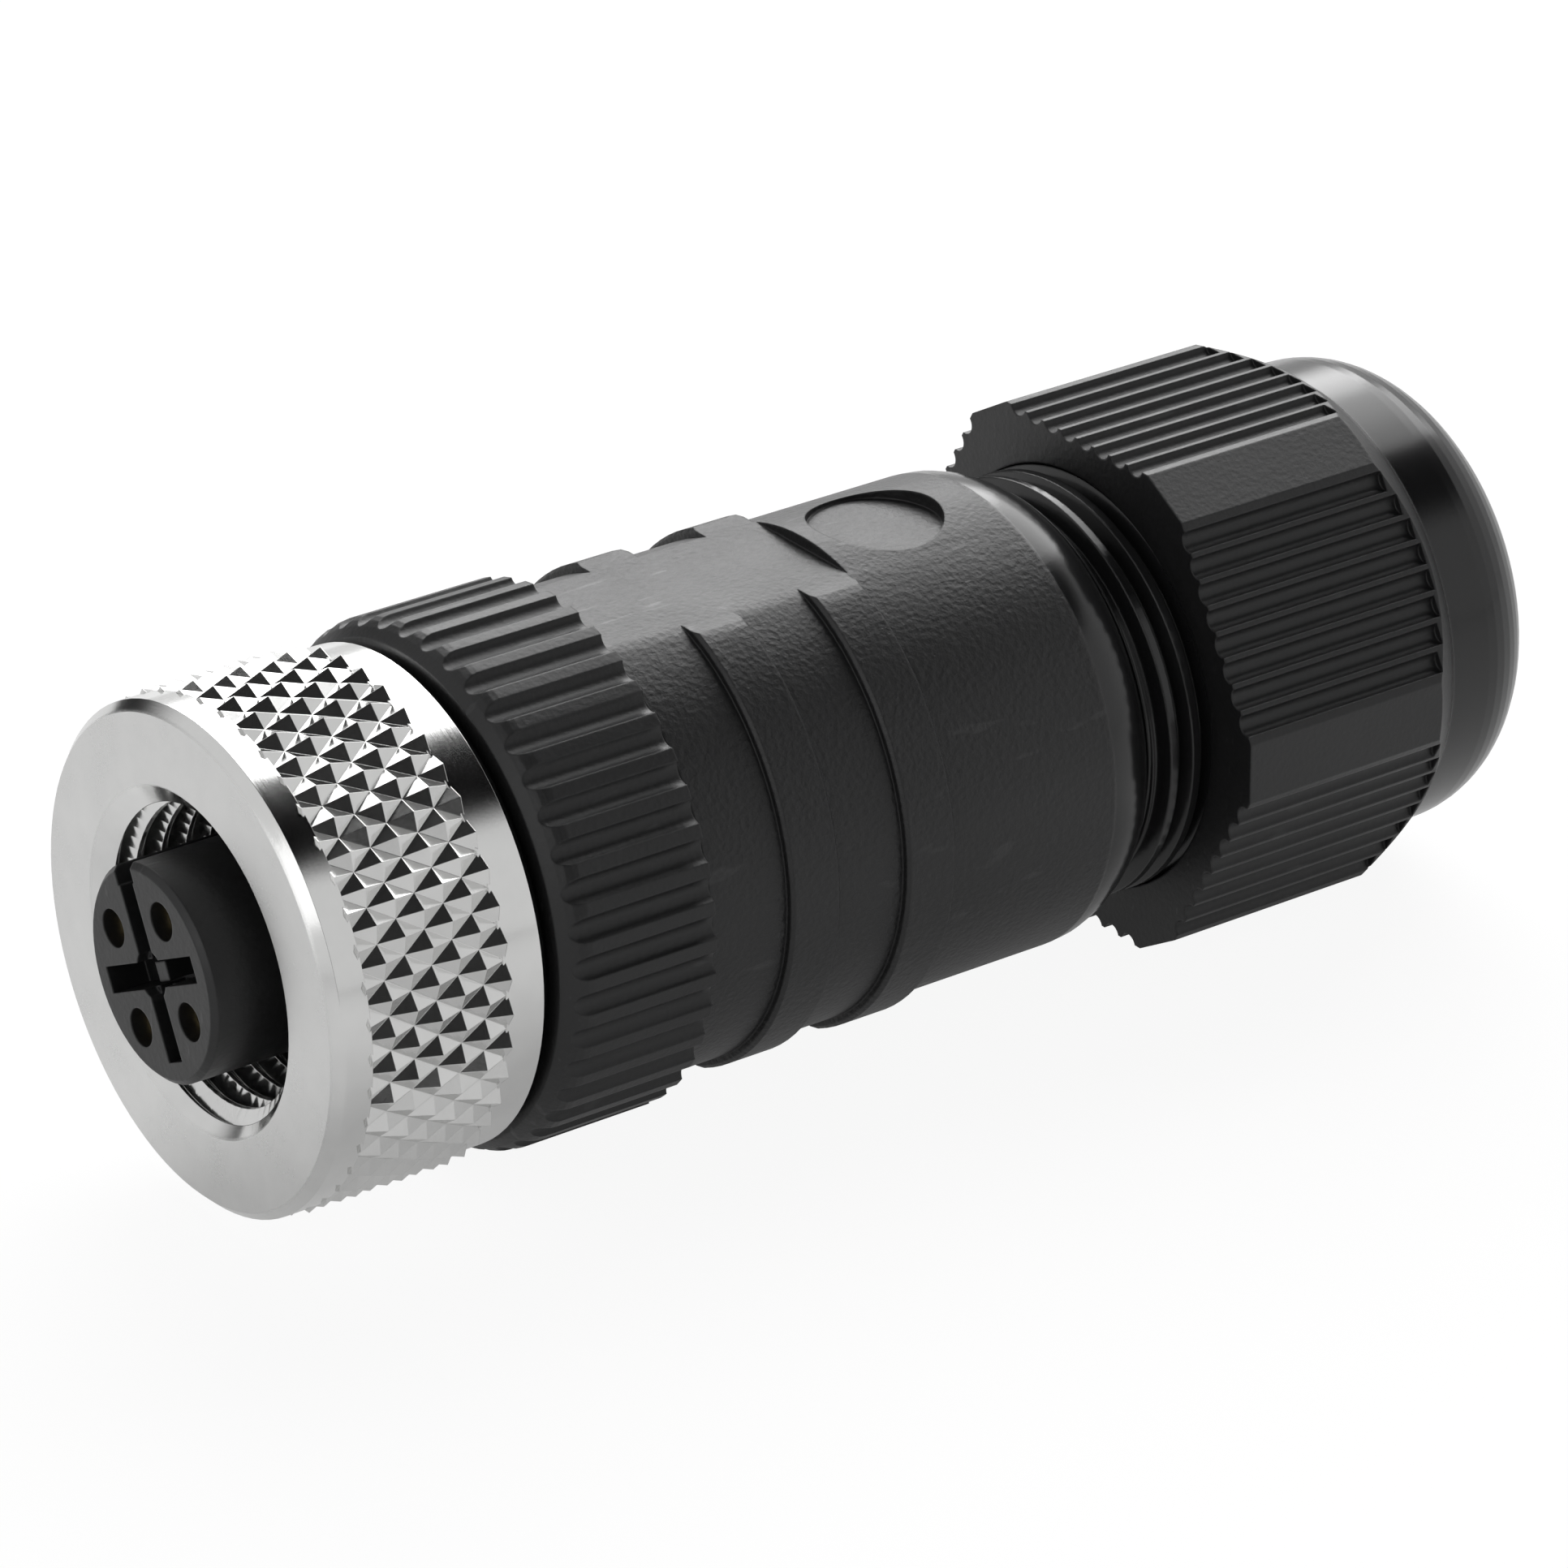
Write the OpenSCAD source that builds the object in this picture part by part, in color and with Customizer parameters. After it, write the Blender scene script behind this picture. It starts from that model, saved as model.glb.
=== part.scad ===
// Field-wired round sensor connector, M12 size, four poles, screw terminals and a cable gland.
// The axis runs along +X from the mating face at x = 0; +Z is square to the wrench flats.

/* [Coupling nut] */
// length of the coupling nut
nut_len = 8.85; // [8.4:0.05:9.1]
// outer radius of its plain front band
nut_r = 9.25; // [9.2:0.05:9.4]
// step down from the front band to the plain rear band
rear_step = 0.15; // [0.05:0.05:0.2]
// depth of the knurl from point to root
knurl_depth = 0.35; // [0.2:0.05:0.45]
// turn of the knurl about the axis, degrees
knurl_turn = 1.5; // [0:0.5:8]
// height of the knurl points over the plain front band
knurl_rise = 0.15; // [0.05:0.05:0.25]
// start of the knurled band
knurl_x = 1.37; // [1.2:0.01:1.6]
// length of one row of knurl points
knurl_row = 0.95; // [0.9:0.01:0.98]
// rows of knurl points
knurl_rows = 6; // [4:1:6]
// knurl starts of each hand
knurl_starts = 45; // [36:1:60]
// minor radius of the M12 x 1 coupling thread
thread_r = 5.46; // [5.4:0.01:5.5]
// depth of the coupling thread behind the face
thread_len = 5.6; // [5.2:0.1:5.8]
// radius of the countersink at the face
mouth_r = 6.34; // [6.0:0.02:6.5]

/* [Insert] */
// how far the nose stands out of the nut
nose_out = 1.45; // [0.5:0.05:2]
// radius of the nose
nose_r = 3.95; // [3.8:0.05:4]
// edge chamfer of the nose
nose_chamfer = 0.2; // [0.1:0.05:0.4]
// turn of the contact pattern about the axis, degrees
insert_turn = -26; // [-180:1:180]
// pitch circle radius of the contacts
contact_pcr = 2.5; // [2.4:0.05:2.5]
// radius of the pin holes in the nose
pin_hole_r = 0.7; // [0.68:0.01:0.72]
// width of the four pockets between the contacts
cross_w = 0.95; // [0.8:0.05:1.05]
// depth of the pockets
cross_depth = 1.5; // [0.6:0.1:2]
// width of the key groove in the nose rim
key_w = 1.15; // [1:0.05:1.3]
// depth of the key groove below the nose radius
key_depth = 0.75; // [0.5:0.05:0.9]

/* [Carrier] */
// front of the ribbed collar
collar_x = 9.15; // [9:0.05:9.3]
// rear of the ribbed collar
collar_end = 15.3; // [15:0.05:15.4]
// height of the ribs over the nut's knurl
collar_rise = 0.28; // [0.1:0.02:0.4]
// depth of the flutes between the ribs
flute_depth = 0.28; // [0.15:0.01:0.4]
// ribs round the collar
rib_count = 44; // [30:1:60]
// outer radius of the neck that carries the nut
neck_r = 4.85; // [4.75:0.05:4.9]
// radius over the carrier's rear thread
spigot_r = 6.7; // [6.5:0.05:6.8]
// rear end of the carrier
spigot_end = 22; // [20:0.5:22.4]

/* [Housing] */
// front face of the housing
housing_x = 15.5; // [15.45:0.05:15.8]
// radius of the plain barrel
barrel_r = 8.93; // [8.85:0.01:9]
// radius of the two raised bands
band_r = 9.27; // [9.1:0.01:9.4]
// width of each raised band
band_w = 2.1; // [1.5:0.1:2.4]
// size across the wrench flats
flats = 17; // [16.8:0.1:17.4]
// where the wrench flats end
flats_end = 26; // [25.95:0.05:27]
// rear edge of the barrel
barrel_end = 33.2; // [32.6:0.1:33.4]
// radius over the M16 x 1 gland thread
gland_thread_r = 8; // [7.9:0.01:8]
// rear end of the gland thread
tube_end = 44.5; // [43:0.5:45]
// radius of the round recess on top of the barrel
recess_r = 2.48; // [2:0.05:2.6]
// depth of the recess floor below the top of the barrel
recess_depth = 0.5; // [0.4:0.05:0.6]

/* [Gland nut] */
// front face of the gland nut
gland_x = 38.25; // [38:0.05:38.5]
// overall rear end
gland_end = 53.7; // [53.2:0.1:54]
// size across the flats of the gland nut
gland_af = 19; // [18.8:0.1:19.2]
// distance from the axis to the blunted corners
corner_r = 10.3; // [10.2:0.05:10.4]
// grooves on each face
grooves = 8; // [4:2:8]
// spacing of the grooves
groove_pitch = 0.98; // [0.9:0.01:1]
// depth of the grooves
groove_depth = 0.3; // [0.2:0.05:0.35]
// radius of the cable hole
cable_r = 4.5; // [4.4:0.1:4.8]

/* [Clearances] */
// radial clearance of turning and screwing fits
running = 0.05; // [0.02:0.01:0.1]
// end gap between neighbouring moulded parts
end_gap = 0.1; // [0.05:0.05:0.3]

/* [View] */
// the part to draw

/* [Hidden] */
$fa = 4;
$fs = 0.2;
eps = 0.01;

// how far a cutter runs past the face it opens
over = 1;

// coupling nut
nut_chamfer = 0.38;
nut_face_drop = 0.37;
nut_face_r = nut_r - nut_face_drop;
knurl_tip_r = nut_r + knurl_rise;
knurl_root_r = knurl_tip_r - knurl_depth;
nut_rear_r = nut_r - rear_step;
nut_rear_chamfer = 0.35;
knurl_ring_t = 0.35;
knurl_ring_r = knurl_root_r - knurl_ring_t;
band_lap = 0.1;
ring_lap = 0.2;
knurl_cols = 2 * knurl_starts;
knurl_step = 360 / knurl_cols;
countersink = 0.75;
relief_r = 6.1;
web_t = 1.95;
web_x = nut_len - web_t;

// retaining ring and nose seal
ring_t = 0.7;
ring_r = 5.3;
ring_groove_r = 4.2;
seal_d = 1.2;
carrier_front = 5.6;
ring_x = web_x - end_gap - ring_t;

// insert, terminal block and contacts
nose_front = -nose_out;
seal_seat_x = 4.35;
hub_r = 0.9;
hub_depth = 0.45;
arm_in = 0.35;
arm_out = 3.1;
seal_seat_r = 3.6;
key_end = 4.1;
insert_r = 5.75;
insert_x = 9.9;
insert_end = 14.5;
block_end = 30.5;
block_r = 5.5;
block_collar_end = 16.5;
contact_r = 0.9;
contact_hole_r = 0.5;
contact_front = -0.75;
contact_hole_len = 7.5;
slot_w = 0.25;
slot_len = 5;
spring_t = 0.12;
spring_front = -0.6;
spring_len = 4;
flange_r = 1.45;
flange_t = 1.2;
barrel_pcr = 3.55;
terminal_r = 1.5;
terminal_x = 23.2;
terminal_len = 6.9;
stem_end = 24.2;
wire_r = 0.9;
wire_depth = 5.6;
screw_x = 26.4;
screw_r = 0.95;
screw_head_r = 1.2;
screw_sink = 0.25;
screw_top = block_r - screw_sink;
screw_slot_w = 0.35;
screw_slot_depth = 0.4;

// carrier
collar_r = knurl_tip_r + collar_rise;
collar_edge = 0.1;
shoulder_drop = 0.48;
shoulder_r = collar_r - shoulder_drop;
shoulder_len = 1.05;
shoulder_segments = 4;
flute_x = collar_x + shoulder_len;
flute_r = 0.5;
carrier_bore_r = insert_r;
oring_floor_r = 6.2;
oring_w = 1.5;
oring_x = collar_end + oring_w / 2;

// housing
band_edge = 0.12;
front_band = 18.8;
rear_band = 23.8;
mouth_bore_r = oring_floor_r + seal_d;
mouth_depth = 1.5;
housing_bore_r = spigot_r + running;
bore_end = 22.5;
chamber_r = 7;
chamber_cone = 0.3;
chamber_end = 31.5;
throat_r = 5.2;
throat_x = 33.3;
seat_x = 34.5;
seat_r = 6.45;
shoulder_end = 35.5;
groove_r = 7.45;
groove_end = 35.95;
thread_lead = 0.35;
recess_x = 29.2;

// cable seal and clamp cage
rubber_r = 6.35;
rubber_bore_r = 3.2;
rubber_end = 41.6;
rubber_chamfer = 0.5;
cage_r = 6.4;
cage_bore_r = 5;
cage_ring_len = 1.6;
cage_end = 48.4;
cage_taper = 0.8;
cage_fingers = 12;
finger_gap = 0.8;

// gland nut
gland_bore_r = gland_thread_r + running;
gland_bore_end = 46.5;
cage_stop = cage_end + end_gap;
stop_r = 6.9;
stop_cone = 1;
chamfer_x = 47;
chamfer_r = 10.45;
chamfer_end = 48.9;
dome_r = 8.93;
dome_x = 50.6;
dome_round = 3.1;
dome_segments = 12;
groove_cutter_r = 0.42;
groove_gap = 0.1;
mouth_chamfer = 0.5;

// points of a quarter round from angle a to b, about [r, x]
function arc(r, x, radius, a, b, n) =
    [for (i = [0:n]) [r + radius * cos(a + (b - a) * i / n), x + radius * sin(a + (b - a) * i / n)]];

// points of a shoulder that falls ever faster from [r0, x0] to [r1, x1]
function falling(r0, x0, r1, x1) =
    [for (i = [0:shoulder_segments]) let (t = i / shoulder_segments)
        [r0 - (r0 - r1) * t * t, x0 + (x1 - x0) * t]];

// turns a local Z axis onto +X
module along_x() {
    rotate([90, 0, 90]) children();
}

module tube(r_out, r_in, x0, x1) {
    along_x() translate([0, 0, x0]) rotate_extrude()
        translate([r_in, 0]) square([r_out - r_in, x1 - x0]);
}

module rod(r, x0, x1) {
    along_x() translate([0, 0, x0]) cylinder(r = r, h = x1 - x0);
}

module profile(points) {
    along_x() rotate_extrude() polygon(points);
}

module ring(r_mid, d, x) {
    along_x() translate([0, 0, x]) rotate_extrude() translate([r_mid, 0]) circle(d = d);
}

// places a child made about the X axis at contact n, 1 to 4
module at_contact(n, r) {
    rotate([insert_turn + 45 + 90 * (n - 1), 0, 0]) translate([0, 0, r]) children();
}

// radius of the knurl at row i and column j: points and roots alternate
function knurl_radius(i, j) = (i + j) % 2 == 0 ? knurl_root_r : knurl_tip_r;

module knurl_band() {
    last = knurl_rows;
    outer = [for (i = [0:last]) for (j = [0:knurl_cols - 1])
        [knurl_radius(i, j) * cos(j * knurl_step),
         knurl_radius(i, j) * sin(j * knurl_step), knurl_x + i * knurl_row]];
    inner = [for (i = [0, last]) for (j = [0:knurl_cols - 1])
        [knurl_ring_r * cos(j * knurl_step), knurl_ring_r * sin(j * knurl_step), knurl_x + i * knurl_row]];
    base = len(outer);
    sides = [for (i = [0:last - 1]) for (j = [0:knurl_cols - 1])
        let (k = (j + 1) % knurl_cols, a = i * knurl_cols + j, b = i * knurl_cols + k,
             c = a + knurl_cols, d = b + knurl_cols)
        each (i + j) % 2 == 0 ? [[a, d, b], [a, c, d]] : [[a, c, b], [b, c, d]]];
    front = [for (j = [0:knurl_cols - 1])
        let (k = (j + 1) % knurl_cols)
        each [[j, k, base + k], [j, base + k, base + j]]];
    rear = [for (j = [0:knurl_cols - 1])
        let (k = (j + 1) % knurl_cols, a = last * knurl_cols + j, b = last * knurl_cols + k,
             c = base + knurl_cols + j, d = base + knurl_cols + k)
        each [[a, d, b], [a, c, d]]];
    bore = [for (j = [0:knurl_cols - 1])
        let (k = (j + 1) % knurl_cols, a = base + j, b = base + k,
             c = a + knurl_cols, d = b + knurl_cols)
        each [[a, b, d], [a, d, c]]];
    along_x() rotate(knurl_turn)
        polyhedron(points = concat(outer, inner), faces = concat(sides, front, rear, bore), convexity = 4);
}

module coupling_nut() color([0.78, 0.78, 0.76]) {
    knurl_end = knurl_x + knurl_rows * knurl_row;
    union() {
        profile([
            [mouth_r, 0], [nut_face_r, 0], [nut_r, nut_chamfer], [nut_r, knurl_x + band_lap],
            [knurl_ring_r + ring_lap, knurl_x + band_lap],
            [knurl_ring_r + ring_lap, knurl_end - band_lap],
            [nut_rear_r, knurl_end - band_lap],
            [nut_rear_r, nut_len - nut_rear_chamfer], [nut_rear_r - nut_rear_chamfer, nut_len],
            [neck_r + running, nut_len], [neck_r + running, web_x], [relief_r, web_x],
            [relief_r, thread_len], [thread_r, thread_len], [thread_r, countersink]
        ]);
        knurl_band();
    }
}

module retaining_ring() color([0.62, 0.62, 0.6]) {
    difference() {
        tube(ring_r, ring_groove_r, ring_x, ring_x + ring_t);
        translate([ring_x - over, -ring_t / 2, 0]) cube([ring_t + 2 * over, ring_t, ring_r + over]);
    }
}

module nose_seal() color([0.1, 0.1, 0.1]) {
    ring(seal_seat_r + seal_d / 2, seal_d, carrier_front - seal_d / 2);
}

module insert() color([0.09, 0.09, 0.1]) {
    difference() {
        profile([
            [0, nose_front], [nose_r - nose_chamfer, nose_front], [nose_r, nose_front + nose_chamfer],
            [nose_r, seal_seat_x], [seal_seat_r, seal_seat_x], [seal_seat_r, insert_x],
            [insert_r, insert_x], [insert_r, insert_end], [0, insert_end]
        ]);
        for (n = [1:4]) at_contact(n, contact_pcr) {
            rod(pin_hole_r, nose_front - over, contact_front);
            rod(contact_r + spring_t + running, contact_front - eps, spring_front + spring_len + running);
            rod(contact_r, contact_front, insert_end - flange_t);
            rod(flange_r, insert_end - flange_t, insert_end + over);
        }
        rotate([insert_turn, 0, 0]) {
            rod(hub_r, nose_front - over, nose_front + hub_depth);
            for (side = [0:3]) rotate([90 * side, 0, 0])
                translate([nose_front - over, -cross_w / 2, arm_in])
                    cube([cross_depth + over, cross_w, arm_out - arm_in]);
            translate([nose_front - over, -cross_w / 2, arm_in])
                cube([cross_depth + over, cross_w, nose_r]);
            translate([nose_front - over, -key_w / 2, nose_r - key_depth])
                cube([key_end - nose_front + over, key_w, nose_r]);
        }
    }
}

module terminal_block() color([0.16, 0.16, 0.17]) {
    difference() {
        profile([
            [0, insert_end], [insert_r, insert_end], [insert_r, block_collar_end],
            [block_r, block_collar_end], [block_r, block_end], [0, block_end]
        ]);
        for (n = [1:4]) {
            at_contact(n, contact_pcr) rod(contact_r, insert_end - over, stem_end);
            at_contact(n, barrel_pcr) rod(terminal_r, terminal_x, block_end + over);
            at_contact(n, 0) translate([screw_x, 0, barrel_pcr]) cylinder(r = screw_head_r, h = block_r);
        }
    }
}

module contact(n) color([0.8, 0.66, 0.3]) {
    difference() {
        union() {
            at_contact(n, contact_pcr) {
                rod(contact_r, contact_front, stem_end);
                rod(flange_r, insert_end - flange_t, insert_end);
            }
            at_contact(n, barrel_pcr) rod(terminal_r, terminal_x, terminal_x + terminal_len);
        }
        at_contact(n, contact_pcr) {
            rod(contact_hole_r, contact_front - over, contact_front + contact_hole_len);
            translate([contact_front - over, -slot_w / 2, -contact_r - over])
                cube([slot_len + over, slot_w, 2 * (contact_r + over)]);
        }
        at_contact(n, barrel_pcr) rod(wire_r, terminal_x + terminal_len - wire_depth, block_end + over);
        at_contact(n, 0) translate([screw_x, 0, barrel_pcr]) cylinder(r = screw_r, h = block_r);
    }
}

module contact_1() { contact(1); }

module contact_2() { contact(2); }

module contact_3() { contact(3); }

module contact_4() { contact(4); }

module contact_spring(n) color([0.7, 0.7, 0.7]) {
    at_contact(n, contact_pcr) tube(contact_r + spring_t, contact_r, spring_front, spring_front + spring_len);
}

module contact_spring_1() { contact_spring(1); }

module contact_spring_2() { contact_spring(2); }

module contact_spring_3() { contact_spring(3); }

module contact_spring_4() { contact_spring(4); }

module terminal_screws() color([0.7, 0.68, 0.6]) {
    for (n = [1:4]) at_contact(n, 0) difference() {
        translate([screw_x, 0, barrel_pcr]) cylinder(r = screw_r, h = screw_top - barrel_pcr);
        translate([screw_x - screw_head_r, -screw_slot_w / 2, screw_top - screw_slot_depth])
            cube([2 * screw_head_r, screw_slot_w, 2 * screw_slot_depth]);
    }
}

module ribbed_collar() {
    intersection() {
        along_x() translate([0, 0, collar_x]) linear_extrude(height = collar_end - collar_x) difference() {
            circle(r = collar_r, $fn = 2 * rib_count);
            for (i = [0:rib_count - 1]) rotate(360 / rib_count * (i + 0.5))
                translate([collar_r - flute_depth + flute_r, 0]) circle(r = flute_r, $fn = 20);
        }
        profile(concat(
            [[0, collar_end], [collar_r + over, collar_end], [collar_r + over, flute_x]],
            falling(collar_r, flute_x, shoulder_r, collar_x + collar_edge),
            [[shoulder_r - collar_edge, collar_x], [0, collar_x]]
        ));
    }
}

module carrier() color([0.07, 0.07, 0.075]) {
    difference() {
        union() {
            rod(neck_r, carrier_front, collar_x + over);
            ribbed_collar();
            profile([
                [0, collar_end - over], [oring_floor_r, collar_end - over],
                [oring_floor_r, collar_end + oring_w],
                [spigot_r, collar_end + oring_w], [spigot_r, spigot_end - thread_lead],
                [spigot_r - thread_lead, spigot_end], [0, spigot_end]
            ]);
        }
        tube(neck_r + over, ring_groove_r, ring_x, ring_x + ring_t);
        rod(seal_seat_r, carrier_front - over, insert_x + over);
        rod(carrier_bore_r, insert_x, spigot_end + over);
    }
}

module body_seal() color([0.1, 0.1, 0.1]) {
    ring(oring_floor_r + seal_d / 2, seal_d - running, oring_x);
}

// outline of one raised band starting at x, in [r, x] points
function band(x) = [
    [barrel_r, x], [band_r - band_edge, x], [band_r, x + band_edge],
    [band_r, x + band_w - band_edge], [band_r - band_edge, x + band_w], [barrel_r, x + band_w]
];

module housing() color([0.07, 0.07, 0.075]) {
    difference() {
        profile(concat(
            [[0, housing_x], [barrel_r - band_edge, housing_x], [barrel_r, housing_x + band_edge]],
            band(front_band), band(rear_band),
            falling(barrel_r, barrel_end, gland_thread_r, shoulder_end),
            [[groove_r, shoulder_end], [groove_r, groove_end],
             [gland_thread_r, groove_end + thread_lead], [gland_thread_r, tube_end - thread_lead],
             [gland_thread_r - thread_lead, tube_end], [0, tube_end]]
        ));
        for (side = [-1, 1])
            translate([housing_x - over, -band_r - over, side > 0 ? flats / 2 : -band_r - over])
                cube([flats_end - housing_x + over, 2 * (band_r + over), band_r + over - flats / 2]);
        translate([recess_x, 0, barrel_r - recess_depth]) cylinder(r = recess_r, h = recess_depth + over);
        profile([
            [0, housing_x - over], [mouth_bore_r, housing_x - over], [mouth_bore_r, housing_x + mouth_depth],
            [housing_bore_r, housing_x + mouth_depth], [housing_bore_r, bore_end],
            [chamber_r, bore_end + chamber_cone], [chamber_r, chamber_end], [throat_r, throat_x],
            [throat_r, seat_x], [seat_r, seat_x], [seat_r, tube_end + over], [0, tube_end + over]
        ]);
    }
}

module gland_seal() color([0.12, 0.12, 0.12]) {
    profile([
        [rubber_bore_r, seat_x], [rubber_r, seat_x], [rubber_r, rubber_end - rubber_chamfer],
        [rubber_r - rubber_chamfer, rubber_end], [rubber_bore_r + rubber_chamfer, rubber_end],
        [rubber_bore_r, rubber_end - rubber_chamfer]
    ]);
}

module clamp_cage() color([0.85, 0.85, 0.83]) {
    difference() {
        profile([
            [cage_bore_r, rubber_end], [cage_r, rubber_end], [cage_r, gland_bore_end],
            [cage_r - cage_taper, cage_end], [cage_bore_r, cage_end]
        ]);
        for (i = [0:cage_fingers / 2 - 1]) rotate([360 / cage_fingers * i, 0, 0])
            translate([rubber_end + cage_ring_len, -finger_gap / 2, -cage_r - over])
                cube([cage_end - rubber_end, finger_gap, 2 * (cage_r + over)]);
    }
}

// how far back the faces reach where the end chamfer crosses radius r
function chamfer_at(r) = chamfer_x + (chamfer_r - r) * (chamfer_end - chamfer_x) / (chamfer_r - dome_r);

module hex_outline() {
    intersection() {
        rotate(30) circle(d = gland_af / cos(30), $fn = 6);
        circle(r = corner_r / cos(30), $fn = 6);
    }
}

module gland_nut() color([0.07, 0.07, 0.075]) {
    difference() {
        intersection() {
            along_x() translate([0, 0, gland_x]) linear_extrude(height = gland_end - gland_x)
                rotate(30) hex_outline();
            profile(concat(
                [[0, gland_x], [chamfer_r, gland_x], [chamfer_r, chamfer_x], [dome_r, chamfer_end]],
                arc(dome_r - dome_round, dome_x, dome_round, 0, 90, dome_segments),
                [[0, gland_end]]
            ));
        }
        for (face = [0:5], i = [0:grooves - 1]) {
            side = (i - (grooves - 1) / 2) * groove_pitch;
            far = chamfer_at(norm([gland_af / 2, side])) - groove_gap;
            rotate([60 * face, 0, 0])
                translate([0, side, gland_af / 2 - groove_depth + groove_cutter_r])
                    rod(groove_cutter_r, gland_x - over, far);
        }
        profile([
            [0, gland_x - over], [gland_bore_r, gland_x - over], [gland_bore_r, gland_bore_end],
            [stop_r, gland_bore_end + stop_cone], [stop_r, cage_stop], [cable_r, cage_stop],
            [cable_r, gland_end - mouth_chamfer], [cable_r + mouth_chamfer, gland_end],
            [cable_r + mouth_chamfer, gland_end + over], [0, gland_end + over]
        ]);
    }
}

coupling_nut();
retaining_ring();
nose_seal();
insert();
terminal_block();
contact_1();
contact_2();
contact_3();
contact_4();
contact_spring_1();
contact_spring_2();
contact_spring_3();
contact_spring_4();
terminal_screws();
carrier();
body_seal();
housing();
gland_seal();
clamp_cage();
gland_nut();
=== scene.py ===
from math import cos, pi, radians, sin

import bpy
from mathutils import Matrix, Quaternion, Vector


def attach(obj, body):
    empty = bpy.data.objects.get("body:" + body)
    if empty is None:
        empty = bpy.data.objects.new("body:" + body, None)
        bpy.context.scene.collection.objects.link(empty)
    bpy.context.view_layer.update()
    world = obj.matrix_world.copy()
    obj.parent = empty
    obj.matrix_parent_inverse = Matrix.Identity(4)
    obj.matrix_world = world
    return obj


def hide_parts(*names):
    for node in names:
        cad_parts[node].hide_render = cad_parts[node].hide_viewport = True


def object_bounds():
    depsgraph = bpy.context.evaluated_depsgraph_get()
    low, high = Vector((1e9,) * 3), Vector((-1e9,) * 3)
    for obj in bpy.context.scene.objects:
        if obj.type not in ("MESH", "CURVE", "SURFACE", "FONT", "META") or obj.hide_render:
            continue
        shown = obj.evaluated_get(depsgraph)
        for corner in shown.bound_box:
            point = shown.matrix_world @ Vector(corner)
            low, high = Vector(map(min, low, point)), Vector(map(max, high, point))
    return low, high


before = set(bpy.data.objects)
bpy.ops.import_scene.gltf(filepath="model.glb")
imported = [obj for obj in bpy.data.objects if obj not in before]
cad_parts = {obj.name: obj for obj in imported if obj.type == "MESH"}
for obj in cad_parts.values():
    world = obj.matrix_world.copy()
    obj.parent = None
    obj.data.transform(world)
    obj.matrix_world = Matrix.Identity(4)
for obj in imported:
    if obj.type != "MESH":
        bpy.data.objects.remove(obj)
cad_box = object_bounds()
MM = 0.001
rest_z = cad_box[0][2]


# numbered sockets of the Mix node, which shows the same names once for each kind of value
MIX_SHARE = 0
MIX_NUMBER_A = 2
MIX_NUMBER_B = 3
MIX_COLOUR_A = 6
MIX_COLOUR_B = 7
MIX_RESULT = 2

# coordinates are stretched to millimetres; the long ones draw noise out into streaks
MILLIMETRES = (1000.0, 1000.0, 1000.0)
TURNING_MARKS = (9000.0, 500.0, 500.0)
SCUFF_STREAKS = (350.0, 2600.0, 900.0)

# places along the axis, in millimetres
NUT_FACE = (0.02, 0.12)
SHOULDER = (33.1, 33.3)
DOME = (48.3, 49.0)

# ---------------------------------------------------------------- shader maths

class Value:
    """A socket in a material. Arithmetic on it adds Math nodes."""

    def __init__(self, finish, socket):
        self.finish = finish
        self.socket = socket

    def math(self, operation, *values):
        return self.finish.node("ShaderNodeMath", {"operation": operation}, dict(enumerate(values)))

    def __add__(self, other):
        return self.math("ADD", self, other)

    def __radd__(self, other):
        return self.math("ADD", other, self)

    def __sub__(self, other):
        return self.math("SUBTRACT", self, other)

    def __rsub__(self, other):
        return self.math("SUBTRACT", other, self)

    def __mul__(self, other):
        return self.math("MULTIPLY", self, other)

    def __rmul__(self, other):
        return self.math("MULTIPLY", other, self)

    def over(self, other):
        return self.math("MAXIMUM", self, other)

    def between(self, low, high):
        """0 below low, 1 above high, a smooth step in between."""
        return self.finish.node(
            "ShaderNodeMapRange", {"interpolation_type": "SMOOTHSTEP", "clamp": True},
            {"Value": self, "From Min": low, "From Max": high, "To Min": 0.0, "To Max": 1.0})


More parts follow.
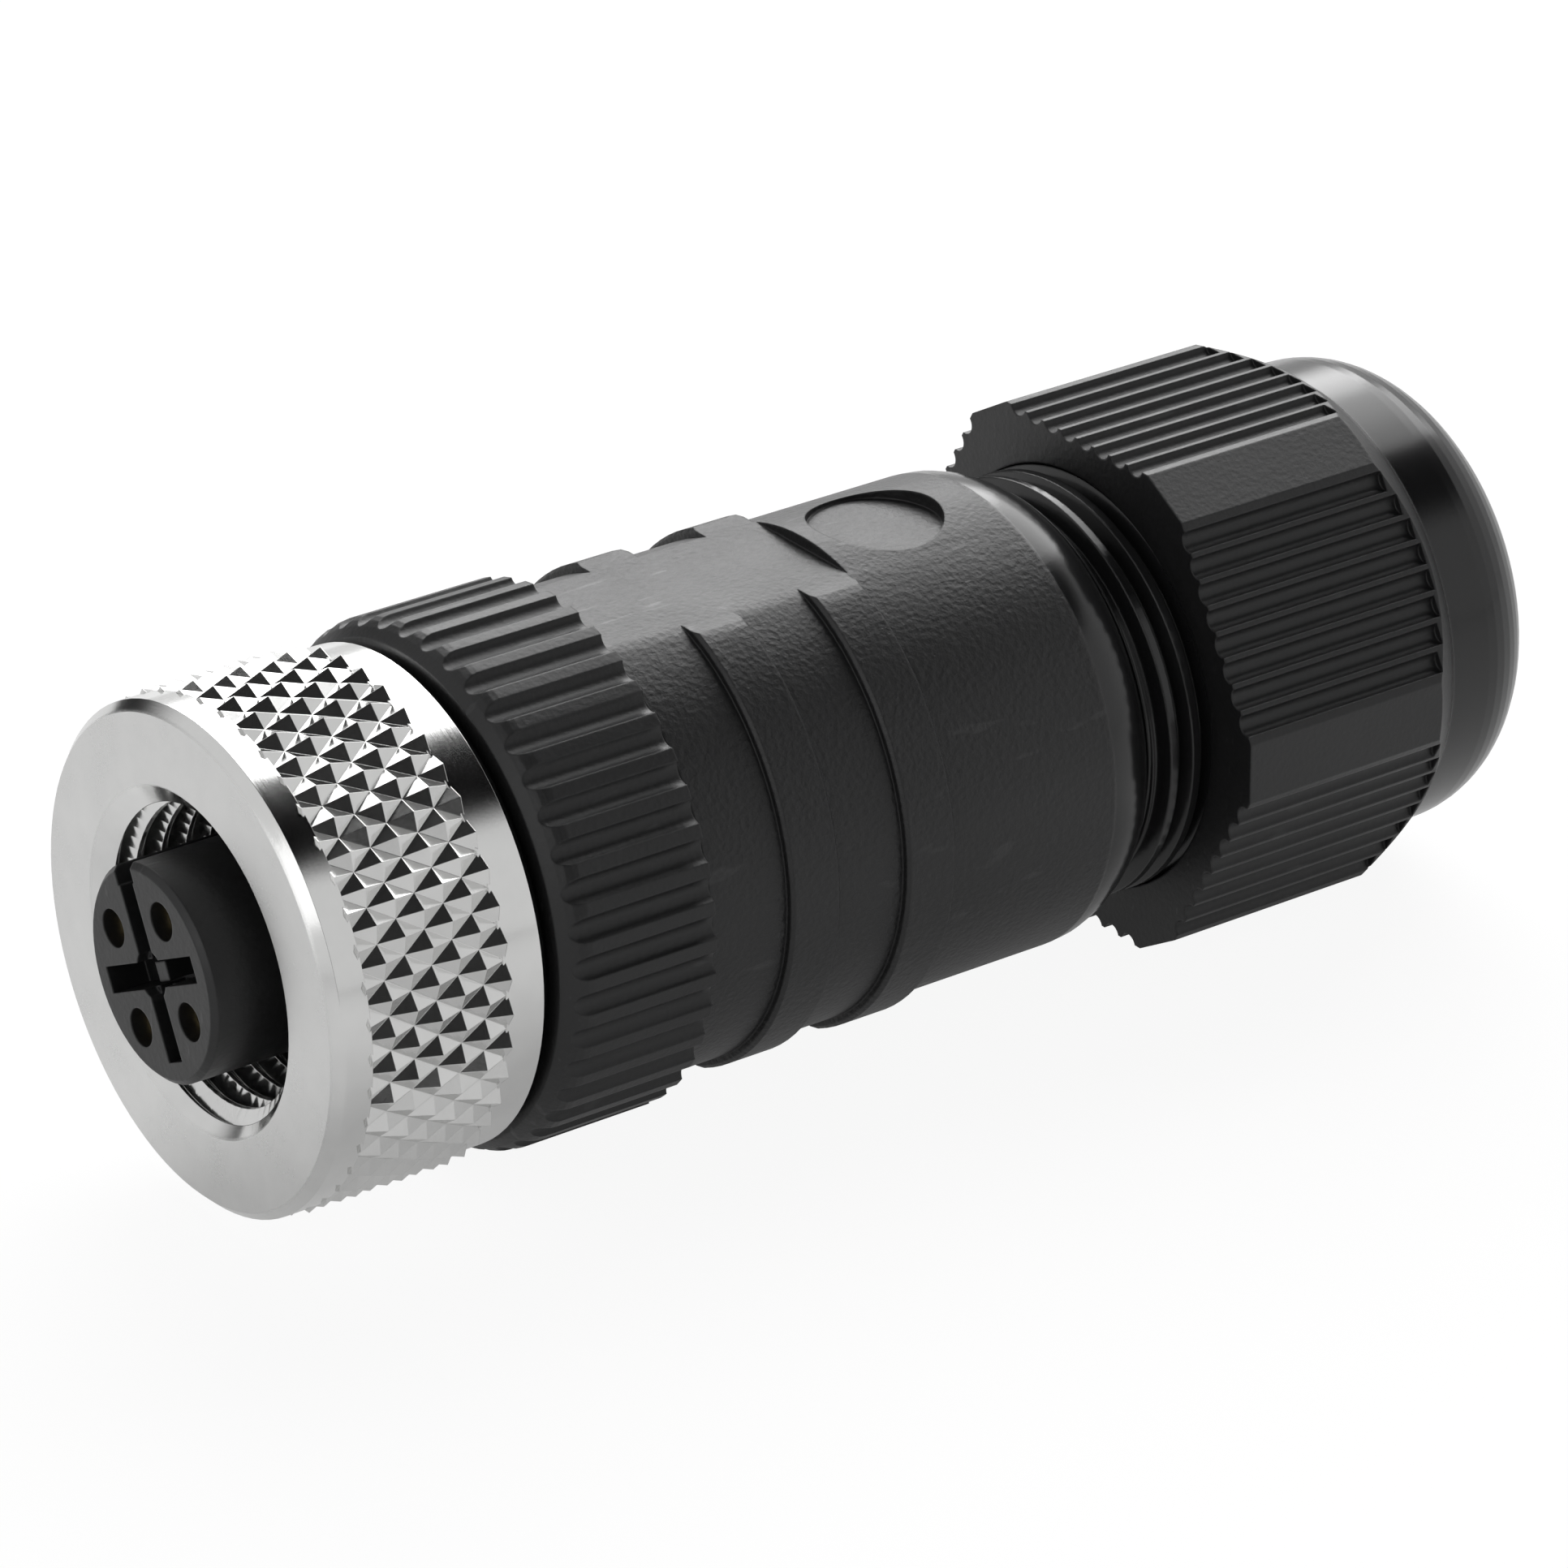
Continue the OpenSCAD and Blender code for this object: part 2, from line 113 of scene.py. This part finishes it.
class Finish:
    """One material, built round its Principled shader."""

    def __init__(self, name, colour, roughness, metallic=0.0, specular=0.5):
        self.material = bpy.data.materials.new(name)
        self.material.use_nodes = True
        self.material.diffuse_color = (*colour, 1)
        self.tree = self.material.node_tree
        self.shader = self.tree.nodes["Principled BSDF"]
        self.feed(self.shader, "Base Color", (*colour, 1))
        self.feed(self.shader, "Roughness", roughness)
        self.feed(self.shader, "Metallic", metallic)
        self.feed(self.shader, "Specular IOR Level", specular)

    def feed(self, node, socket, value):
        target = node.inputs[socket]
        if isinstance(value, Value):
            self.tree.links.new(value.socket, target)
        else:
            target.default_value = value

    def node(self, kind, settings, sockets, output=0):
        node = self.tree.nodes.new(kind)
        for name, value in settings.items():
            setattr(node, name, value)
        for socket, value in sockets.items():
            self.feed(node, socket, value)
        return Value(self, node.outputs[output])

    def place(self, scale=MILLIMETRES):
        """Object coordinates multiplied by scale."""
        where = self.node("ShaderNodeTexCoord", {}, {}, "Object")
        return self.node("ShaderNodeMapping", {}, {"Vector": where, "Scale": scale})

    def along(self, where, axis):
        return self.node("ShaderNodeSeparateXYZ", {}, {"Vector": where}, axis)

    def noise(self, where, scale, detail=3.0, rough=0.55):
        return self.node("ShaderNodeTexNoise", {"noise_dimensions": "3D"},
                         {"Vector": where, "Scale": scale, "Detail": detail, "Roughness": rough}, 0)

    def cells(self, where, scale):
        return self.node("ShaderNodeTexVoronoi", {"feature": "F1"},
                         {"Vector": where, "Scale": scale}, 0)

    def mix(self, share, a, b):
        """Colour a where share is 0 and b where it is 1."""
        node = self.tree.nodes.new("ShaderNodeMix")
        node.data_type = "RGBA"
        self.feed(node, MIX_SHARE, share)
        self.feed(node, MIX_COLOUR_A, (*a, 1))
        self.feed(node, MIX_COLOUR_B, (*b, 1))
        return Value(self, node.outputs[MIX_RESULT])

    def soft_edges(self, radius):
        return self.node("ShaderNodeBevel", {"samples": 6}, {"Radius": radius * MM})

    def bump(self, height, depth, strength=1.0, over=None):
        """A normal with relief of this depth in millimetres."""
        sockets = {"Height": height, "Distance": depth * MM, "Strength": strength}
        if over is not None:
            sockets["Normal"] = over
        return self.node("ShaderNodeBump", {}, sockets)

    def set(self, **sockets):
        names = {"colour": "Base Color", "roughness": "Roughness", "normal": "Normal"}
        for name, value in sockets.items():
            self.feed(self.shader, names[name], value)
        return self.material


# ------------------------------------------------------------------- finishes

def nickel_plate():
    """Bright plating on the turned bands and knurl, a little duller on the flat front face."""
    f = Finish("nickel_plate", (0.74, 0.73, 0.71), 0.25, metallic=1.0)
    where = f.place()
    x = f.along(where, "X")
    face = 1 - x.between(*NUT_FACE)
    cloud = f.noise(where, 0.5, 4)
    fine = f.noise(where, 9.0, 3)
    turned = f.noise(f.place(TURNING_MARKS), 1.0, 2)
    rough = 0.1 + face * 0.13 + cloud * 0.06 + fine * 0.05
    tint = f.mix(cloud, (0.66, 0.66, 0.655), (0.80, 0.80, 0.79))
    relief = fine * (0.2 + face * 0.8) + turned * (1 - face) * 0.35
    normal = f.bump(relief, 0.006, 0.6, f.soft_edges(0.035))
    return f.set(colour=tint, roughness=rough, normal=normal)


def black_moulding(name, grain_scale, grain_depth, matte, polished=None, smooth_rough=0.2):
    """Black moulded plastic with a fine grain; polished is (start, end) of the blend to a glossy part."""
    f = Finish(name, (0.012, 0.012, 0.013), matte, specular=0.5)
    where = f.place()
    polish = f.along(where, "X").between(*polished) if polished else 0.0
    grain = f.noise(where, grain_scale, 3, 0.6)
    specks = f.cells(where, grain_scale * 0.7)
    cloud = f.noise(where, 0.35, 3)
    scuff = f.noise(f.place(SCUFF_STREAKS), 1.0, 2).between(0.66, 0.74)
    moulded = matte - 0.05 + grain * 0.12 + cloud * 0.08 - scuff * 0.08
    rough = moulded * (1 - polish) + polish * smooth_rough
    worn = scuff * (1 - polish) * 0.6 + grain * 0.3
    tint = f.mix(worn, (0.009, 0.009, 0.0095), (0.034, 0.034, 0.035))
    height = (grain + specks * 0.6) * (1 - polish * 0.92)
    normal = f.bump(height, grain_depth, 0.8, f.soft_edges(0.1))
    return f.set(colour=tint, roughness=rough, normal=normal)


def grained_plastic():
    return black_moulding("grained_plastic", 5.5, 0.03, 0.4, SHOULDER)


def ribbed_plastic():
    return black_moulding("ribbed_plastic", 6.0, 0.012, 0.4)


def gland_plastic():
    return black_moulding("gland_plastic", 6.0, 0.01, 0.38, DOME)


def insert_plastic():
    return black_moulding("insert_plastic", 5.0, 0.01, 0.36)


def seal_rubber():
    f = Finish("seal_rubber", (0.02, 0.02, 0.02), 0.6)
    where = f.place()
    grain = f.noise(where, 4.0, 3)
    tint = f.mix(grain, (0.015, 0.015, 0.015), (0.035, 0.035, 0.035))
    return f.set(colour=tint, roughness=0.5 + grain * 0.2, normal=f.bump(grain, 0.01, 0.4))


def gold_brass():
    f = Finish("gold_brass", (0.8, 0.62, 0.28), 0.25, metallic=1.0)
    where = f.place()
    cloud = f.noise(where, 1.0, 3)
    tint = f.mix(cloud, (0.72, 0.55, 0.24), (0.85, 0.68, 0.34))
    return f.set(colour=tint, roughness=0.2 + cloud * 0.15)


def spring_steel():
    f = Finish("spring_steel", (0.6, 0.6, 0.59), 0.3, metallic=1.0)
    where = f.place()
    cloud = f.noise(where, 1.5, 3)
    tint = f.mix(cloud, (0.5, 0.5, 0.49), (0.68, 0.68, 0.67))
    return f.set(colour=tint, roughness=0.22 + cloud * 0.16)


def cage_plastic():
    f = Finish("cage_plastic", (0.62, 0.62, 0.58), 0.45)
    where = f.place()
    grain = f.noise(where, 3.0, 3)
    tint = f.mix(grain, (0.56, 0.56, 0.52), (0.68, 0.68, 0.64))
    return f.set(colour=tint, roughness=0.4 + grain * 0.15, normal=f.bump(grain, 0.01, 0.3))


# ------------------------------------------------------------ modelling

CAD_MERGE = 0.001
FINE_MERGE = 0.0005
THREAD_PITCH = 1.0


def only(obj):
    """Makes obj the one selected and active object."""
    bpy.ops.object.select_all(action="DESELECT")
    obj.select_set(True)
    bpy.context.view_layer.objects.active = obj


def copy_of(node, name):
    """A copy of a CAD piece with its corners merged, free to be worked on."""
    only(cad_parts[node])
    bpy.ops.object.duplicate()
    obj = bpy.context.active_object
    obj.name = name
    obj.data.name = name
    obj.parent = None
    only(obj)
    bpy.ops.object.mode_set(mode="EDIT")
    bpy.ops.mesh.select_all(action="SELECT")
    bpy.ops.mesh.remove_doubles(threshold=CAD_MERGE * MM)
    bpy.ops.mesh.customdata_custom_splitnormals_clear()
    bpy.ops.object.mode_set(mode="OBJECT")
    return obj


def outline(name, points):
    """A chain of edges through [radius, x] points, in the plane y = 0."""
    bpy.ops.object.select_all(action="DESELECT")
    radius, x = points[0]
    bpy.ops.mesh.primitive_plane_add(size=1 * MM, location=(x * MM, 0, radius * MM))
    obj = bpy.context.active_object
    obj.name = name
    bpy.ops.object.transform_apply(location=True, rotation=False, scale=False)
    bpy.ops.object.mode_set(mode="EDIT")
    bpy.ops.mesh.select_mode(type="VERT")
    bpy.ops.mesh.select_all(action="SELECT")
    bpy.ops.mesh.merge(type="CENTER")
    last = points[0]
    for point in points[1:]:
        step = ((point[1] - last[1]) * MM, 0, (point[0] - last[0]) * MM)
        bpy.ops.mesh.extrude_region_move(TRANSFORM_OT_translate={"value": step})
        last = point
    bpy.ops.mesh.select_all(action="SELECT")
    bpy.ops.object.mode_set(mode="OBJECT")
    only(obj)
    return obj


def close_loop(obj):
    bpy.ops.object.mode_set(mode="EDIT")
    bpy.ops.mesh.select_all(action="SELECT")
    bpy.ops.mesh.remove_doubles(threshold=FINE_MERGE * MM)
    bpy.ops.object.mode_set(mode="OBJECT")


def apply(obj, kind, **settings):
    """Adds a modifier with these settings and applies it."""
    only(obj)
    modifier = obj.modifiers.new(kind.lower(), kind)
    for name, value in settings.items():
        setattr(modifier, name, value)
    bpy.ops.object.modifier_apply(modifier=modifier.name)


def tidy_shell(obj):
    """Merges doubles, closes open ends and turns the faces outwards."""
    only(obj)
    bpy.ops.object.mode_set(mode="EDIT")
    bpy.ops.mesh.select_all(action="SELECT")
    bpy.ops.mesh.remove_doubles(threshold=FINE_MERGE * MM)
    bpy.ops.mesh.select_all(action="DESELECT")
    bpy.ops.mesh.select_mode(type="EDGE")
    bpy.ops.mesh.select_non_manifold(extend=False, use_wire=False, use_boundary=True,
                                     use_multi_face=False, use_non_contiguous=False, use_verts=False)
    bpy.ops.mesh.edge_face_add()
    bpy.ops.mesh.select_all(action="SELECT")
    bpy.ops.mesh.normals_make_consistent(inside=False)
    bpy.ops.object.mode_set(mode="OBJECT")


def thread_cutter(name, points, start, turns, steps):
    """A groove profile of [radius, x] points wound into a right-hand helix about the X axis."""
    loop = outline(name, [(r, x + start) for r, x in points] + [(points[0][0], points[0][1] + start)])
    close_loop(loop)
    apply(loop, "SCREW", axis="X", angle=2 * pi, screw_offset=THREAD_PITCH * MM, iterations=turns,
          steps=steps, render_steps=steps, use_merge_vertices=False, use_smooth_shade=False)
    tidy_shell(loop)
    return loop


def cut(obj, cutter):
    """Takes cutter away from obj and removes it."""
    apply(obj, "BOOLEAN", operation="DIFFERENCE", solver="EXACT", object=cutter)
    bpy.data.objects.remove(cutter, do_unlink=True)


def smooth(obj, degrees):
    only(obj)
    bpy.ops.object.shade_smooth_by_angle(angle=radians(degrees))


def dress(obj, material):
    obj.data.materials.clear()
    obj.data.materials.append(material)


# ------------------------------------------------------------------ the pieces

def coupling_nut(metal):
    """The knurled nut with its M12 x 1 thread cut inside."""
    nut = copy_of("coupling_nut", "coupling_nut_threaded")
    half = 0.44
    flank = half - 0.03
    root = 0.06
    groove = [(5.3, -half), (5.3, half), (5.46, flank), (6.02, root), (6.02, -root), (5.46, -flank)]
    cut(nut, thread_cutter("m12_groove", groove, 0.1, 6, 72))
    smooth(nut, 25)
    dress(nut, metal)
    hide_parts("coupling_nut")
    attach(nut, "coupling_nut")
    return nut


def housing(plastic):
    """The housing with its M16 x 1 thread cut on the neck."""
    body = copy_of("housing", "housing_threaded")
    half = 0.43
    root = 0.07
    groove = [(8.2, -half), (7.46, -root), (7.46, root), (8.2, half)]
    cut(body, thread_cutter("m16_groove", groove, 34.9, 11, 96))
    smooth(body, 30)
    dress(body, plastic)
    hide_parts("housing")
    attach(body, "housing")
    return body


metal = nickel_plate()
nut = coupling_nut(metal)
shell = housing(grained_plastic())
finishes = {
    "carrier": ribbed_plastic(), "gland_nut": gland_plastic(), "insert": insert_plastic(),
    "nose_seal": seal_rubber(), "terminal_screws": spring_steel(), "clamp_cage": cage_plastic(),
    "contact_1": gold_brass(),
}
same = {
    "terminal_block": "insert", "body_seal": "nose_seal", "gland_seal": "nose_seal",
    "retaining_ring": "terminal_screws",
    **{f"contact_{n}": "contact_1" for n in (2, 3, 4)},
    **{f"contact_spring_{n}": "terminal_screws" for n in (1, 2, 3, 4)},
}
for name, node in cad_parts.items():
    if name in ("coupling_nut", "housing"):
        continue
    dress(node, finishes[same.get(name, name)])


# ------------------------------------------------------- floor, light, camera

FLOOR_SIZE = 4
FLOOR_GLOW = 1.08
GLOW_IN_VIEW = 0.85
GLOW_IN_MIRRORS = 0.34
AIR_LIGHT = 0.12
DARK_PATCH = (0.512, -0.17, 0.84)

CAMERA_AIM = Vector((0.025, 0, 0))
CAMERA_TURN = radians(35.86)
CAMERA_LIFT = radians(26.03)
CAMERA_ROLL = radians(-0.37)
CAMERA_DISTANCE = 0.2870
CAMERA_LENS = 184.4
CAMERA_SHIFT = (0.0023, -0.0083)


def studio():
    f = Finish("floor_white", (0.9, 0.9, 0.9), 0.6, specular=0.1)
    tree = f.tree
    glow = tree.nodes.new("ShaderNodeEmission")
    glow.inputs["Color"].default_value = (1, 1, 1, 1)
    glow.inputs["Strength"].default_value = FLOOR_GLOW
    blend = tree.nodes.new("ShaderNodeMixShader")
    path = tree.nodes.new("ShaderNodeLightPath")
    seen = Value(f, path.outputs["Is Camera Ray"]) * GLOW_IN_VIEW
    mirrored = Value(f, path.outputs["Is Glossy Ray"]) * GLOW_IN_MIRRORS
    f.feed(blend, 0, seen.over(mirrored))
    tree.links.new(f.shader.outputs[0], blend.inputs[1])
    tree.links.new(glow.outputs[0], blend.inputs[2])
    tree.links.new(blend.outputs[0], tree.nodes["Material Output"].inputs["Surface"])
    bpy.ops.object.select_all(action="DESELECT")
    bpy.ops.mesh.primitive_plane_add(size=FLOOR_SIZE, location=(0, 0, rest_z))
    floor = bpy.context.active_object
    floor.name = "floor"
    bpy.ops.object.transform_apply(location=True, rotation=False, scale=False)
    floor.data.materials.append(f.material)


def world_light():
    """White behind the object; in mirrored rays, a bright room with a dark patch overhead."""
    world = bpy.data.worlds.new("studio_air")
    bpy.context.scene.world = world
    world.use_nodes = True
    tree = world.node_tree
    back = tree.nodes["Background"]
    back.inputs["Color"].default_value = (1, 1, 1, 1)

    def node(kind, settings, sockets, output=0):
        new = tree.nodes.new(kind)
        for name, value in settings.items():
            setattr(new, name, value)
        for socket, value in sockets.items():
            if isinstance(value, bpy.types.NodeSocket):
                tree.links.new(value, new.inputs[socket])
            else:
                new.inputs[socket].default_value = value
        return new.outputs[output]

    path = tree.nodes.new("ShaderNodeLightPath")
    where = node("ShaderNodeTexCoord", {}, {}, "Generated")
    toward = node("ShaderNodeVectorMath", {"operation": "DOT_PRODUCT"}, {0: where, 1: DARK_PATCH}, "Value")
    gap = node("ShaderNodeMapRange", {"interpolation_type": "SMOOTHSTEP"},
               {"Value": toward, "From Min": 0.87, "From Max": 0.955, "To Min": 1.0, "To Max": 0.0})
    along = node("ShaderNodeSeparateXYZ", {}, {"Vector": where}, "X")
    side = node("ShaderNodeMath", {"operation": "ABSOLUTE"}, {0: along})
    ends = node("ShaderNodeMapRange", {"interpolation_type": "SMOOTHSTEP"},
                 {"Value": side, "From Min": 0.16, "From Max": 0.42, "To Min": 0.02, "To Max": 0.75})
    room = node("ShaderNodeMath", {"operation": "MULTIPLY"}, {0: gap, 1: ends})
    dim = node("ShaderNodeMix", {"data_type": "FLOAT"},
               {MIX_SHARE: path.outputs["Is Glossy Ray"], MIX_NUMBER_A: AIR_LIGHT, MIX_NUMBER_B: room})
    seen = node("ShaderNodeMix", {"data_type": "FLOAT"},
                {MIX_SHARE: path.outputs["Is Camera Ray"], MIX_NUMBER_A: dim, MIX_NUMBER_B: 1.0})
    tree.links.new(seen, back.inputs["Strength"])


def softbox(name, place, aim, size, watts):
    lamp = bpy.data.lights.new(name, "AREA")
    lamp.shape = "RECTANGLE"
    lamp.size, lamp.size_y = size
    lamp.energy = watts
    obj = bpy.data.objects.new(name, lamp)
    bpy.context.scene.collection.objects.link(obj)
    obj.location = place
    obj.rotation_euler = (Vector(aim) - Vector(place)).to_track_quat("-Z", "Y").to_euler()


def camera():
    across = cos(CAMERA_LIFT)
    look = Vector((sin(CAMERA_TURN) * across, cos(CAMERA_TURN) * across, -sin(CAMERA_LIFT)))
    lens = bpy.data.cameras.new("camera")
    lens.lens = CAMERA_LENS
    lens.sensor_width = 36
    lens.shift_x, lens.shift_y = CAMERA_SHIFT
    lens.clip_start = 0.01
    lens.clip_end = 20
    obj = bpy.data.objects.new("camera", lens)
    bpy.context.scene.collection.objects.link(obj)
    obj.location = CAMERA_AIM - look * CAMERA_DISTANCE
    level = look.to_track_quat("-Z", "Y")
    obj.rotation_euler = (Quaternion(look, -CAMERA_ROLL) @ level).to_euler()
    bpy.context.scene.camera = obj


studio()
world_light()
softbox("overhead", (0.28, 0.28, 0.36), (0, 0, 0), (0.6, 0.42), 2.3)
softbox("back_right", (0.30, 0.42, 0.27), (0.02, 0, 0), (0.3, 0.25), 0.6)
softbox("front_left", (-0.35, -0.2, 0.25), (0, 0, 0), (0.3, 0.3), 0.2)
camera()
bpy.context.scene.view_settings.view_transform = "Standard"
